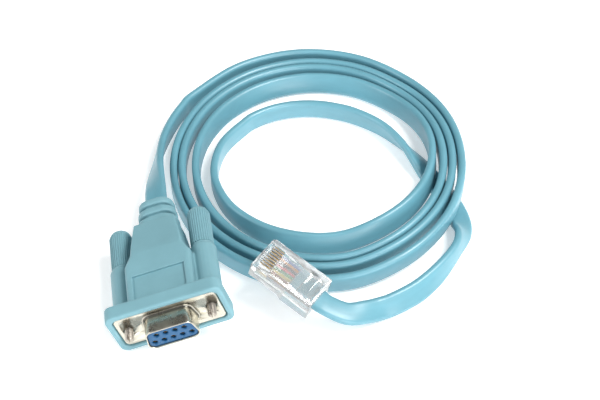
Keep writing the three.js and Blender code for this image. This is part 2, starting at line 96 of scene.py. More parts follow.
# Edge of the knob's collar, as insets from its radius and distances from its start
COLLAR_EDGE = ((0.35, 0), (0.1, 0.1), (0, 0.3), (0, 0.6), (0.1, 0.75))
KNOB_RIBS = 30
RIB_RADIUS = 0.28
RIB_SIDES = 8
RIB_START = KNOB_START + 0.9
RIB_END = KNOB_END - 1.7
CONNECTOR_ROLL = math.radians(15.75)
NECK_END = 43.2
CONNECTOR_MIDDLE_Y = (NECK_END - SKIRT[2]) / 2
FLANGE = (34.8, 16.5, 2.4)
LABEL = (15.8, 8.4, 0.72)
LABEL_START = 4.9
HOOD_TOP = 7.0
HOOD_VOXEL = 0.26
AXIS_HEIGHT = (
    FLANGE[2] + (FLANGE[0] / 2 - FLANGE[2]) * math.sin(CONNECTOR_ROLL)
    + (FLANGE[1] / 2 - FLANGE[2]) * math.cos(CONNECTOR_ROLL)
)

# Cable, in millimetres
CABLE_WIDTH = 7.0
CABLE_THICKNESS = 2.5
CABLE_STEP = 1.4
CABLE_SEAT_GAP = 0.3
FLOOR_GAP = 0.15
COIL_CENTRE = (55, 60)
COIL_START_ANGLE = 135
COIL_TURNS = 4
COIL_STEPS = 16
# Radius at the coil's left, far, right and near side, turn by turn from the outside in
COIL_REACH = (
    (53.4, 48.5, 45.7, 41.3, 35.6),
    (53.6, 48.6, 45.8, 40.6, 28.6),
    (44.5, 41.6, 38.7, 35.6),
    (48.2, 43.4, 40.4, 32.3),
)
# The turns' rise over the inner pass, and where it is, in degrees round the coil
CROSSING_LIFT = 3.1
CROSSING_FROM = 2
CROSSING_TO = -52
CROSSING_RAMP = 45
# The innermost turn's lean in degrees, and where it comes and goes, in turns from the start
INNER_LEAN = 35
LEAN_FROM = 2.7
LEAN_TO = 3.66
LEAN_RAMP = 0.35
# Points of the free lengths as x, y, height and the turn of the width in degrees, 90 on edge.
# The inner pass and the tail lie on the floor, so their points have no height
LEAD_POINTS = (
    (0.1, 49.5, 11.3, 18), (0.4, 55.0, 10.0, 32), (0.9, 61.0, 8.2, 50), (1.8, 67.5, 6.4, 68),
    (3.2, 74.0, 4.9, 80), (5.4, 80.8, 4.0, 88), (8.6, 87.6, 3.65, 90), (12.4, 93.4, 3.65, 90),
)
INNER_PASS_POINTS = (
    (36.2, 85.0, 90), (40.6, 86.7, 90), (45.4, 87.7, 90), (50.5, 87.9, 90), (56.0, 87.2, 90),
    (61.8, 85.4, 90), (69.0, 81.6, 90), (76.8, 74.6, 84), (82.4, 66.0, 66), (85.9, 58.6, 34),
    (88.6, 52.0, 6), (91.0, 45.6, 0), (92.8, 39.2, 0), (93.7, 33.2, 0), (93.4, 28.2, 22),
)
TAIL_POINTS = (
    (92.2, 23.8, 58), (89.8, 19.6, 80), (86.0, 15.0, 76), (80.6, 9.8, 62), (74.0, 5.2, 50),
    (66.6, 2.0, 45), (62.0, 0.8, 42),
)
PLUG_LEAD_POINTS = (
    (56.8, -0.9, 4.4, 34), (51.0, -1.8, 6.1, 14),
)

# Clear plug, in millimetres in its own frame: X across the wires, Y to the nose, Z out of the top face
PLUG_TOP_CENTRE = (36.6, 8.7, 15.7)
PLUG_YAW = math.radians(46)
PLUG_PITCH = math.radians(14)
PLUG_ROLL = math.radians(-2)
PLUG_REAR = -10.73
WIRE_DEPTH = 4.2
JACKET_LENGTH = 9.2
JACKET_STRAIGHT = 2.5
BODY_BEVEL = 0.08
LATCH_BEVEL = 0.15
CRIMP = (7.0, 1.7, 1.15)
CRIMP_STARTS = (1.2, 3.6)

# How far a cutting piece reaches past what it cuts, in millimetres
CUT_PAST = 1
SLOT_CUT_PAST = 2
FLARE_CUT_PAST = 0.3
CRIMP_CUT_PAST = 0.5

# Meshes: shading creases where faces meet at more than an angle, in degrees
CREASE_ANGLE = 35
ROUND_CREASE_ANGLE = 50
BEVEL_ANGLE = 40
FLAT_ANGLE = 1
MERGE_DISTANCE = 1e-7

CONNECTOR = (
    Matrix.Translation(mm(0, -CONNECTOR_MIDDLE_Y, AXIS_HEIGHT)) @ Matrix.Rotation(-CONNECTOR_ROLL, 4, "Y")
)
PLUG = (
    Matrix.Translation(mm(PLUG_TOP_CENTRE[0], PLUG_TOP_CENTRE[1] - CONNECTOR_MIDDLE_Y, PLUG_TOP_CENTRE[2]))
    @ Matrix.Rotation(PLUG_YAW, 4, "Z") @ Matrix.Rotation(PLUG_PITCH, 4, "X")
    @ Matrix.Rotation(PLUG_ROLL, 4, "Y")
)

# Camera: the photograph's place and angle, worked out from the connector's known sizes. The eye is
# in millimetres from the face plate
CAMERA_EYE = (1.0, -226.4, 310.2)
CAMERA_LOOK = Vector((0.1068, 0.6614, -0.7424))
CAMERA_FOCAL_PIXELS = 1300
CAMERA_SENSOR = 36
CAMERA_NEAR = 0.01
PHOTO_WIDTH = 600

# Soft studio lights: name, place and size in metres, energy and colour
LIGHT_AIM = (0.05, 0.03, 0)
LIGHTS = (
    ("key_light", (0.45, -0.12, 0.76), 0.4, 7.2, (1.0, 0.985, 0.96)),
    ("front_light", (0.3, -0.8, 0.26), 0.6, 4.7, (0.96, 0.98, 1.0)),
    ("left_light", (-0.65, 0.0, 0.5), 0.5, 3.6, (1.0, 1.0, 1.0)),
)
WORLD_STRENGTH = 0.42

# Stage, in metres
FLOOR_REACH = 3.0
FLOOR_DROP = 0.0002
CARD_PLACE = (-0.16, 0.33, 0.40)
CARD_AIM = (0, -0.02, 0.012)
CARD_SIZE = (0.9, 0.62)
CARD_COLOUR = (0.02, 0.018, 0.015)


def make_camera():
    """The camera, where the photograph was taken from."""
    data = bpy.data.cameras.new("camera")
    data.sensor_width = CAMERA_SENSOR
    data.lens = CAMERA_SENSOR * CAMERA_FOCAL_PIXELS / PHOTO_WIDTH
    data.clip_start = CAMERA_NEAR
    camera = bpy.data.objects.new("camera", data)
    bpy.context.collection.objects.link(camera)
    camera.location = mm(CAMERA_EYE[0], CAMERA_EYE[1] - CONNECTOR_MIDDLE_Y, CAMERA_EYE[2])
    camera.rotation_euler = CAMERA_LOOK.to_track_quat("-Z", "Y").to_euler()
    bpy.context.scene.camera = camera


def make_light(name, place, size, energy, colour):
    """A soft round light that faces the object."""
    data = bpy.data.lights.new(name, "AREA")
    data.shape = "DISK"
    data.size = size
    data.energy = energy
    data.color = colour
    light = bpy.data.objects.new(name, data)
    light.location = place
    light.rotation_euler = (Vector(LIGHT_AIM) - Vector(place)).to_track_quat("-Z", "Y").to_euler()
    bpy.context.collection.objects.link(light)


make_camera()
for light in LIGHTS:
    make_light(*light)


class Socket:
    """A shader value that can be used in Python expressions."""

    def __init__(self, paint, output):
        self.paint = paint
        self.output = output

    def _math(self, operation, *values):
        return self.paint.node("ShaderNodeMath", {"operation": operation}, dict(enumerate(values)))

    def __mul__(self, other):
        return self._math("MULTIPLY", self, other)

    def __rmul__(self, other):
        return self._math("MULTIPLY", other, self)

    def __sub__(self, other):
        return self._math("SUBTRACT", self, other)

    def __rsub__(self, other):
        return self._math("SUBTRACT", other, self)


class Paint:
    """A material and the nodes that colour it."""

    def __init__(self, name, **constants):
        self.material = bpy.data.materials.new(name)
        self.material.use_nodes = True
        self.tree = self.material.node_tree
        self.shader = self.tree.nodes["Principled BSDF"]
        for socket, value in constants.items():
            self.shader.inputs[socket.replace("_", " ")].default_value = value

    def node(self, kind, settings=None, sockets=None, output=0):
        """One node: its settings first, then the values or links of its sockets."""
        node = self.tree.nodes.new(kind)
        for name, value in (settings or {}).items():
            setattr(node, name, value)
        for key, value in (sockets or {}).items():
            if isinstance(value, Socket):
                self.tree.links.new(value.output, node.inputs[key])
            else:
                node.inputs[key].default_value = value
        return Socket(self, node.outputs[output])

    def place(self):
        """Position on the piece, in metres."""
        return self.node("ShaderNodeTexCoord", output="Object")

    def run(self):
        """Distance along and across the cable, in metres."""
        return self.node("ShaderNodeAttribute", {"attribute_name": "run"}, output="Vector")

    def noise(self, scale, detail=3.0, roughness=0.55, place=None):
        return self.node(
            "ShaderNodeTexNoise", None,
            {"Vector": place or self.place(), "Scale": scale, "Detail": detail, "Roughness": roughness},
        )

    def stretch(self, place, scale):
        return self.node("ShaderNodeMapping", None, {"Vector": place, "Scale": scale})

    def mix(self, factor, first, second):
        """A colour between two colours, by the Mix node's own sockets for colours."""
        return self.node(
            "ShaderNodeMix", {"data_type": "RGBA"}, {0: factor, 6: first, 7: second}, output=2,
        )

    def range(self, value, low, high, to_low, to_high):
        """A value moved from one range to another, and held inside it."""
        return self.node(
            "ShaderNodeMapRange", None,
            {"Value": value, "From Min": low, "From Max": high, "To Min": to_low, "To Max": to_high},
        )

    def spread(self, noise, to_low, to_high):
        """Noise, which keeps near its middle, spread out between two values."""
        return self.range(noise, NOISE_LOW, NOISE_HIGH, to_low, to_high)

    def bump(self, height, strength, distance):
        return self.node(
            "ShaderNodeBump", None, {"Height": height, "Strength": strength, "Distance": distance},
        )

    def feed(self, **links):
        """Links values to the shader, and gives back the finished material."""
        for socket, value in links.items():
            self.tree.links.new(value.output, self.shader.inputs[socket.replace("_", " ")])
        return self.material


def rgba(colour, factor=1.0):
    """A colour made lighter or darker, with full alpha."""
    return (*(min(part * factor, 1.0) for part in colour), 1.0)


NOISE_LOW = 0.3
NOISE_HIGH = 0.7
HOOD_COLOUR = (0.18, 0.36, 0.415)
CABLE_COLOUR = (0.13, 0.335, 0.415)
INSERT_COLOUR = (0.006, 0.09, 0.225)
NICKEL_COLOUR = (0.62, 0.595, 0.51)
STEEL_COLOUR = (0.40, 0.365, 0.32)
GOLD_COLOUR = (0.62, 0.43, 0.17)
# Painted shade and dark reflection at the skirt's root: its share, its brightness, and how far in
# front of the plate it starts, is full, fades and ends, in millimetres
PAINTED_SHADE_SHARE = 0.85
PAINTED_SHADE_FACTOR = 0.1
PAINTED_SHADE_DISTANCES = (1.1, 0.5, 0.08, 0.01)


def moulded_paint(name, colour, roughness):
    """Soft moulded vinyl: fine satin texture, faint flow marks, a little paler where it's rubbed."""
    paint = Paint(name, Specular_IOR_Level=0.45)
    cloud = paint.noise(scale=90.0, detail=4.0)
    grain = paint.noise(scale=2600.0, detail=2.0)
    tint = paint.mix(paint.spread(cloud, 0, 1), rgba(colour, 0.93), rgba(colour, 1.06))
    rough = paint.spread(cloud, roughness - 0.05, roughness + 0.06)
    relief = paint.bump(grain, strength=0.12, distance=0.00006)
    return paint.feed(Base_Color=tint, Roughness=rough, Normal=relief)


def jacket_paint():
    """Extruded jacket: long faint draw lines, a soft sheen and slight cloudiness."""
    paint = Paint("cable_jacket", Specular_IOR_Level=0.65)
    run = paint.run()
    lines = paint.noise(scale=1.0, place=paint.stretch(run, (18.0, 2600.0, 1.0)))
    cloud = paint.noise(scale=1.0, place=paint.stretch(run, (60.0, 240.0, 1.0)))
    tint = paint.mix(paint.spread(cloud, 0, 1), rgba(CABLE_COLOUR, 0.92), rgba(CABLE_COLOUR, 1.07))
    relief = paint.bump(lines, strength=0.10, distance=0.00004)
    return paint.feed(Base_Color=tint, Roughness=paint.spread(lines, 0.3, 0.4), Normal=relief)


def skirt_root_shade(paint):
    """1 in the fillet where the skirt meets the face plate, and 0 elsewhere: where shade and dark
    reflection are painted.
    """
    depth = paint.node("ShaderNodeSeparateXYZ", None, {"Vector": paint.place()}, output="Y")
    start, full, fade, end = (mm(-CONNECTOR_MIDDLE_Y - distance) for distance in PAINTED_SHADE_DISTANCES)
    return paint.range(depth, start, full, 0, 1) * (1 - paint.range(depth, fade, end, 0, 1))


def metal_paint(name, colour, roughness, painted_shade=None):
    """Plated metal: uneven tone, fine pits, soft smears in its gloss, and painted shade and dark
    reflection at a place if it has one.
    """
    paint = Paint(name, Metallic=1.0)
    cloud = paint.noise(scale=260.0, detail=4.0)
    pits = paint.noise(scale=3600.0, detail=2.0)
    tint = paint.mix(paint.spread(cloud, 0, 1), rgba(colour, 0.86), rgba(colour, 1.08))
    # Painted shade and dark reflection: the colour is darkened inside the mask
    if painted_shade:
        tint = paint.mix(painted_shade(paint) * PAINTED_SHADE_SHARE, tint, rgba(colour, PAINTED_SHADE_FACTOR))
    rough = paint.spread(cloud, roughness - 0.06, roughness + 0.08)
    relief = paint.bump(pits, strength=0.08, distance=0.00003)
    return paint.feed(Base_Color=tint, Roughness=rough, Normal=relief)


def clear_paint():
    """Clear moulded plastic with faint flow waves and fine scuffs."""
    paint = Paint("clear_plastic", IOR=1.49, Transmission_Weight=0.83, Specular_IOR_Level=0.5)
    waves = paint.noise(scale=420.0)
    scuffs = paint.noise(scale=1.0, place=paint.stretch(paint.place(), (900.0, 3000.0, 900.0)))
    tint = paint.mix(waves, (0.97, 0.985, 0.985, 1), (1.0, 1.0, 1.0, 1))
    rough = paint.range(scuffs, 0.5, 0.75, 0.03, 0.16)
    relief = paint.bump(waves, strength=0.08, distance=0.0001)
    return paint.feed(Base_Color=tint, Roughness=rough, Normal=relief)


def wire_paint(name, colour):
    """Smooth coloured insulation."""
    paint = Paint(name, Specular_IOR_Level=0.5)
    cloud = paint.noise(scale=700.0, detail=2.0)
    tint = paint.mix(cloud, rgba(colour, 0.9), rgba(colour, 1.1))
    return paint.feed(Base_Color=tint, Roughness=paint.spread(cloud, 0.35, 0.5))


def floor_paint():
    """White paper, lit a little from within so that it stays white."""
    paint = Paint(
        "floor_sheet", Specular_IOR_Level=0.1, Emission_Color=(1, 1, 1, 1), Emission_Strength=0.4,
    )
    cloud = paint.noise(scale=6.0, detail=2.0)
    tint = paint.mix(cloud, (0.93, 0.93, 0.93, 1), (0.96, 0.96, 0.96, 1))
    return paint.feed(Base_Color=tint, Roughness=paint.spread(cloud, 0.75, 0.85))


MOULDED = moulded_paint("moulded_blue", HOOD_COLOUR, 0.5)
JACKET = jacket_paint()
INSERT = moulded_paint("insert_blue", INSERT_COLOUR, 0.38)
# The nickel gets painted shade and dark reflection in the fillet at the skirt's root
NICKEL = metal_paint("plated_nickel", NICKEL_COLOUR, 0.28, painted_shade=skirt_root_shade)
STEEL = metal_paint("screw_steel", STEEL_COLOUR, 0.3)
GOLD = metal_paint("contact_gold", GOLD_COLOUR, 0.28)
CLEAR = clear_paint()
WIRE_COLOURS = (
    (0.6, 0.6, 0.56), (0.3, 0.14, 0.06), (0.6, 0.5, 0.14), (0.08, 0.3, 0.13),
    (0.55, 0.08, 0.1), (0.03, 0.03, 0.035), (0.55, 0.24, 0.08), (0.08, 0.16, 0.42),
)
WIRES = [wire_paint(f"wire_{i + 1}", colour) for i, colour in enumerate(WIRE_COLOURS)]


def smooth_up_to(bm, angle):
    """Smooth shading, with a crease where faces meet at more than an angle."""
    limit = math.radians(angle)
    for edge in bm.edges:
        edge.smooth = len(edge.link_faces) == 2 and edge.calc_face_angle(0) < limit
    for face in bm.faces:
        face.smooth = True


def new_piece(name, mesh):
    """An object at the origin, in the scene."""
    piece = bpy.data.objects.new(name, mesh)
    bpy.context.collection.objects.link(piece)
    return piece


def piece_from_bmesh(name, bm, material, crease=CREASE_ANGLE):
    """Turns a bmesh into a piece at the origin, with its faces outwards and smooth shading."""
    bmesh.ops.recalc_face_normals(bm, faces=bm.faces)
    smooth_up_to(bm, crease)
    mesh = bpy.data.meshes.new(name)
    bm.to_mesh(mesh)
    bm.free()
    mesh.materials.append(material)
    return new_piece(name, mesh)


def cad_copy(node, name, material, place, flatten):
    """A copy of a CAD node's mesh in the frame of its place, with its loose triangles merged."""
    mesh = bpy.data.objects[node].data.copy()
    mesh.transform(place.inverted())
    bm = bmesh.new()
    bm.from_mesh(mesh)
    bmesh.ops.remove_doubles(bm, verts=bm.verts, dist=MERGE_DISTANCE)
    if flatten:
        bmesh.ops.dissolve_limit(
            bm, angle_limit=math.radians(FLAT_ANGLE), verts=bm.verts, edges=bm.edges,
        )
    bm.to_mesh(mesh)
    bm.free()
    mesh.materials.clear()
    mesh.materials.append(material)
    return new_piece(name, mesh)


def with_modifiers(piece, *modifiers):
    """Adds modifiers to a piece, applies all that it has, and leaves it as a plain mesh."""
    for kind, settings in modifiers:
        modifier = piece.modifiers.new(kind.lower(), kind)
        for name, value in settings.items():
            setattr(modifier, name, value)
    graph = bpy.context.evaluated_depsgraph_get()
    mesh = bpy.data.meshes.new_from_object(piece.evaluated_get(graph))
    piece.modifiers.clear()
    old = piece.data
    piece.data = mesh
    bpy.data.meshes.remove(old)
    return piece


def shade(piece, crease=CREASE_ANGLE):
    """Smooth shading for a finished piece."""
    bm = bmesh.new()
    bm.from_mesh(piece.data)
    smooth_up_to(bm, crease)
    bm.to_mesh(piece.data)
    bm.free()
    return piece


def cut(piece, *tools):
    """Cuts tool pieces out of a piece, and removes the tools."""
    with_modifiers(piece, *(
        ("BOOLEAN", {"operation": "DIFFERENCE", "object": tool, "solver": "EXACT"}) for tool in tools
    ))
    for tool in tools:
        bpy.data.objects.remove(tool)
    return piece


def put(piece, place):
    """Moves a piece's mesh to its place, and leaves its object at the origin."""
    piece.data.transform(place)
    return piece


def join(first, *others):
    """Adds other pieces' meshes to the first piece, and removes them."""
    bm = bmesh.new()
    for piece in (first, *others):
        bm.from_mesh(piece.data)
    bm.to_mesh(first.data)
    bm.free()
    for piece in others:
        bpy.data.objects.remove(piece)
    return first


def rings_mesh(rings, closed_ends=True):
    """A bmesh through closed rings with equal numbers of points, open or closed at its ends."""
    bm = bmesh.new()
    loops = [[bm.verts.new(point) for point in ring] for ring in rings]
    count = len(loops[0])
    for first, second in zip(loops, loops[1:]):
        for i in range(count):
            j = (i + 1) % count
            bm.faces.new((first[i], first[j], second[j], second[i]))
    if closed_ends:
        bm.faces.new(loops[0][::-1])
        bm.faces.new(loops[-1])
    return bm


def sweep(degrees, steps):
    """Angles from 0 to a number of degrees, in even steps."""
    return [math.radians(degrees * i / steps) for i in range(steps + 1)]


def block_piece(name, low, high, material):
    """A box between two corners, in millimetres."""
    low, high = Vector(low), Vector(high)
    shape = Matrix.Translation((low + high) / 2 * MM) @ Matrix.Diagonal((*(high - low), 1))
    bm = bmesh.new()
    bmesh.ops.create_cube(bm, size=MM, matrix=shape)
    return piece_from_bmesh(name, bm, material)


def round_ring(radius, y, x, z, sides):
    """A circle square to Y, in millimetres."""
    angles = (2 * math.pi * i / sides for i in range(sides))
    return [mm(x + radius * math.cos(a), y, z + radius * math.sin(a)) for a in angles]


def turned(name, profile, material, x=0.0, z=0.0, sides=48):
    """A turned piece along Y, from (radius, y) in millimetres, closed by flat ends."""
    rings = [round_ring(radius, y, x, z, sides) for radius, y in profile]
    return piece_from_bmesh(name, rings_mesh(rings), material)


def rounded_rectangle(width, height, radius, arc=8):
    """Points of a rectangle with round corners, anticlockwise from the right side."""
    points = []
    for quadrant in range(4):
        side_x = 1 if quadrant in (0, 3) else -1
        side_z = 1 if quadrant in (0, 1) else -1
        for i in range(arc + 1):
            a = math.radians(90 * quadrant + 90 * i / arc)
            points.append((side_x * (width / 2 - radius) + radius * math.cos(a),
                           side_z * (height / 2 - radius) + radius * math.sin(a)))
    return points


def d_outline(width, height, radius, arc=8):
    """The D of skirt and insert, wide below, as points from the upper right corner round to the left."""
    slant = math.tan(SKIRT_SLANT) * height
    corners = [Vector((width / 2 - slant, height / 2)), Vector((-width / 2 + slant, height / 2)),
               Vector((-width / 2, -height / 2)), Vector((width / 2, -height / 2))]
    points = []
    for i, corner in enumerate(corners):
        before = (corners[i - 1] - corner).normalized()
        after = (corners[(i + 1) % 4] - corner).normalized()
        half = before.angle(after) / 2
        middle = corner + (before + after).normalized() * (radius / math.sin(half))
        start = corner + before * (radius / math.tan(half)) - middle
        end = corner + after * (radius / math.tan(half)) - middle
        turn = start.angle_signed(end)
        for k in range(arc + 1):
            points.append(tuple(middle + Matrix.Rotation(-turn * k / arc, 2) @ start))
    return points


def along_y(outline, y):
    """An outline of (x, z) points set square to Y, in millimetres."""
    return [mm(x, y, z) for x, z in outline]


# Cable: one smooth line through the route's stations, with the turn of its width at each


def resting_height(turn):
    """Height of the cable's middle when its lower edge lies just over the floor."""
    flat = (CABLE_WIDTH - CABLE_THICKNESS) / 2
    return flat * abs(math.sin(math.radians(turn))) + CABLE_THICKNESS / 2 + FLOOR_GAP


def smooth_step(value):
    """0 for values up to 0, 1 for values from 1, and a soft rise between them."""
    t = min(max(value, 0.0), 1.0)
    return t * t * (3 - 2 * t)


def curve_weights(t):
    """Weights of four points in a row, for a smooth curve from the second point to the third."""
    return (
        (-t + 2 * t**2 - t**3) / 2, (2 - 5 * t**2 + 3 * t**3) / 2,
        (t + 4 * t**2 - 3 * t**3) / 2, (-(t**2) + t**3) / 2,
    )


def hump(angle):
    """How far the turns are lifted where the inner pass dives under them."""
    wrapped = (angle + 180) % 360 - 180
    rise = smooth_step((CROSSING_FROM + CROSSING_RAMP - wrapped) / CROSSING_RAMP)
    fall = smooth_step((wrapped - CROSSING_TO + CROSSING_RAMP) / CROSSING_RAMP)
    return CROSSING_LIFT * min(rise, fall)


def lean(turns):
    """How far the innermost turn leans from upright, in degrees."""
    start = smooth_step((turns - LEAN_FROM) / LEAN_RAMP)
    end = smooth_step((turns - LEAN_TO) / LEAN_RAMP)
    return INNER_LEAN * start * (1 - end) * math.sin(math.radians(COIL_START_ANGLE - turns * 360))


def coil_radius(turn):
    """Radius of the coil, on a smooth curve through its reach at each quarter turn."""
    def reach(quarter):
        side = COIL_REACH[quarter % 4]
        return side[min(quarter // 4, len(side) - 1)]

    index = math.floor(turn * 4)
    weights = curve_weights(turn * 4 - index)
    return sum(weight * reach(max(index + i - 1, 0)) for i, weight in enumerate(weights))


def cable_stations():
    """Middle of the cable and turn of its width in degrees, station by station, in millimetres."""
    stations = [(Vector((0, NECK_END + CABLE_SEAT_GAP, AXIS_HEIGHT)), math.degrees(CONNECTOR_ROLL))]
    stations += [(Vector(point[:3]), point[3]) for point in LEAD_POINTS]
    for i in range(COIL_TURNS * COIL_STEPS + 1):
        turns = i / COIL_STEPS
        angle = COIL_START_ANGLE - turns * 360
        radius = coil_radius(turns + (180 - COIL_START_ANGLE) / 360)
        x = COIL_CENTRE[0] + radius * math.cos(math.radians(angle))
        y = COIL_CENTRE[1] + radius * math.sin(math.radians(angle))
        turn = 90 + lean(turns)
        stations.append((Vector((x, y, resting_height(turn) + hump(angle))), turn))
    for x, y, turn in INNER_PASS_POINTS + TAIL_POINTS:
        stations.append((Vector((x, y, resting_height(turn))), turn))
    stations += [(Vector(point[:3]), point[3]) for point in PLUG_LEAD_POINTS]
    for depth in (-JACKET_STRAIGHT, 0, JACKET_LENGTH):
        end = PLUG @ mm(0, PLUG_REAR + depth, -WIRE_DEPTH) / MM
        stations.append((end + Vector((0, CONNECTOR_MIDDLE_Y, 0)), -math.degrees(PLUG_ROLL)))
    return [(Vector((p.x, p.y - CONNECTOR_MIDDLE_Y, p.z)) * MM, turn) for p, turn in stations]


def smooth_line(stations, step):
    """Points at even small steps on a smooth curve through the stations, each with its turn."""
    line = []
    last = len(stations) - 1
    for i in range(last):
        near = [stations[min(max(i + k, 0), last)] for k in (-1, 0, 1, 2)]
        pieces = max(2, round((near[2][0] - near[1][0]).length / step))
        for k in range(pieces):
            weights = curve_weights(k / pieces)
            point = sum((weight * place for weight, (place, _) in zip(weights, near)), Vector((0, 0, 0)))
            line.append((point, sum(weight * turn for weight, (_, turn) in zip(weights, near))))
    line.append(stations[-1])
    return line


def cable_section(arc=8):
    """The flat section with its round edges, as (across, thick) in metres."""
    radius = CABLE_THICKNESS / 2
    flat = (CABLE_WIDTH - CABLE_THICKNESS) / 2
    points = []
    for side in (1, -1):
        for i in range(arc + 1):
            a = math.pi * (i / arc - side / 2)
            points.append(mm(side * flat + radius * math.cos(a), radius * math.sin(a)))
    return points


def make_cable():
    """The cable, the points of its middle line and its length, with the run that its jacket reads."""
    line = smooth_line(cable_stations(), mm(CABLE_STEP))
    section = cable_section()
    rings = []
    runs = []
    travelled = 0.0
    for i, (point, turn) in enumerate(line):
        if i:
            travelled += (point - line[i - 1][0]).length
        ahead = line[min(i + 1, len(line) - 1)][0] - line[max(i - 1, 0)][0]
        tangent = ahead.normalized()
        right = tangent.cross(Vector((0, 0, 1))).normalized()
        up = right.cross(tangent)
        angle = math.radians(turn)
        width = right * math.cos(angle) + up * math.sin(angle)
        thick = tangent.cross(width)
        rings.append([point + width * across + thick * depth for across, depth in section])
        runs += [Vector((travelled, across, depth)) for across, depth in section]
    bm = rings_mesh(rings)
    run = bm.verts.layers.float_vector.new("run")
    for vertex, place in zip(bm.verts, runs):
        vertex[run] = place
    piece = piece_from_bmesh("cable", bm, JACKET, ROUND_CREASE_ANGLE)
    return piece, [point for point, _ in line], travelled


cable, cable_line, cable_length = make_cable()
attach(cable, "root")
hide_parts("flat_cable")


def make_hood():
    """The moulding with all its edges softened, and a crisp recess for its label."""
    hood = cad_copy("db9_hood", "hood", MOULDED, CONNECTOR, flatten=False)
    with_modifiers(
        hood,
        ("REMESH", {"mode": "VOXEL", "voxel_size": mm(HOOD_VOXEL), "use_smooth_shade": True}),
        ("SMOOTH", {"factor": 0.5, "iterations": 1}),
    )
    hood.data.materials.clear()
    hood.data.materials.append(MOULDED)
    width, length, depth = LABEL
    recess = block_piece(
        "recess", (-width / 2, LABEL_START, HOOD_TOP - depth),
        (width / 2, LABEL_START + length, HOOD_TOP + CUT_PAST), MOULDED,
    )
    return put(shade(cut(hood, recess), ROUND_CREASE_ANGLE), CONNECTOR)


hood = make_hood()
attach(hood, "root")
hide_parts("db9_hood")


def skirt_outline(out):
    """The skirt's outline, moved outwards."""
    return d_outline(SKIRT[0] + 2 * out, SKIRT[1] + 2 * out, SKIRT_CORNER + out)


def make_plate():
    """The face plate with its soft front edge, its opening and the bores for its screws."""
    width, height, thickness = PLATE
    rings = [
        along_y(rounded_rectangle(width - 2 * inset, height - 2 * inset, PLATE_CORNER - inset), y)
        for inset, y in ((PLATE_BEVEL, 0), (0, PLATE_BEVEL), (0, thickness))
    ]
    plate = piece_from_bmesh("shell", rings_mesh(rings), NICKEL)
    ends = (-CUT_PAST, thickness + CUT_PAST)
    opening = rings_mesh([along_y(skirt_outline(-SKIRT_WALL), y) for y in ends])
    tools = [piece_from_bmesh("opening", opening, NICKEL)]
    for x in (-SCREW_X, SCREW_X):
        tools.append(turned("bore", [(SCREW_BORE / 2, y) for y in ends], NICKEL, x))
    return cut(plate, *tools)


def make_skirt():
    """The skirt: a fillet at its root, a rolled front edge and its inner wall."""
    lip = SKIRT_WALL / 2
    profile = [
        (SKIRT_FILLET * (1 - math.sin(a)), -SKIRT_FILLET * (1 - math.cos(a)))
        for a in sweep(90, SKIRT_ARC_STEPS)
    ]
    profile += [
        (-lip * (1 - math.cos(a)), -SKIRT[2] + lip - lip * math.sin(a))
        for a in sweep(180, SKIRT_ARC_STEPS)
    ]
    profile += [(-SKIRT_WALL, SKIRT_INNER_RING), (-SKIRT_WALL, PLATE[2])]
    rings = [along_y(skirt_outline(out), y) for out, y in profile]
    return piece_from_bmesh("skirt", rings_mesh(rings, closed_ends=False), NICKEL)


shell = put(join(make_plate(), make_skirt()), CONNECTOR)
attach(shell, "root")
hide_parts("db9_shell")


def socket_places():
    """Each socket's middle as (x, z), in millimetres."""
    for count, z in zip(SOCKETS_IN_ROW, (SOCKET_ROWS / 2, -SOCKET_ROWS / 2)):
        for i in range(count):
            yield (i - (count - 1) / 2) * SOCKET_PITCH, z


def make_insert():
    """The insert with a soft front edge and a flared hole for each socket."""
    shrink = 2 * (SKIRT_WALL + INSERT_GAP)
    width, height, corner = SKIRT[0] - shrink, SKIRT[1] - shrink, SKIRT_CORNER - SKIRT_WALL
    edge = INSERT_BEVEL * INSERT_SHOULDER
    profile = (
        (INSERT_BEVEL, INSERT_FRONT), (edge, INSERT_FRONT + edge),
        (0, INSERT_FRONT + INSERT_BEVEL), (0, INSERT_BACK),
    )
    rings = [
        along_y(d_outline(width - 2 * inset, height - 2 * inset, corner - inset), y)
        for inset, y in profile
    ]
    insert = piece_from_bmesh("insert", rings_mesh(rings), INSERT)
    radius = SOCKET_HOLE / 2
    hole = (
        (radius + SOCKET_FLARE + FLARE_CUT_PAST, INSERT_FRONT - FLARE_CUT_PAST),
        (radius, INSERT_FRONT + SOCKET_FLARE),
        (radius, INSERT_FRONT + SOCKET_DEPTH),
    )
    holes = [turned("hole", hole, INSERT, x, z, SOCKET_SIDES) for x, z in socket_places()]
    return shade(cut(insert, *holes))


insert = put(make_insert(), CONNECTOR)
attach(insert, "root")
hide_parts("db9_insert")


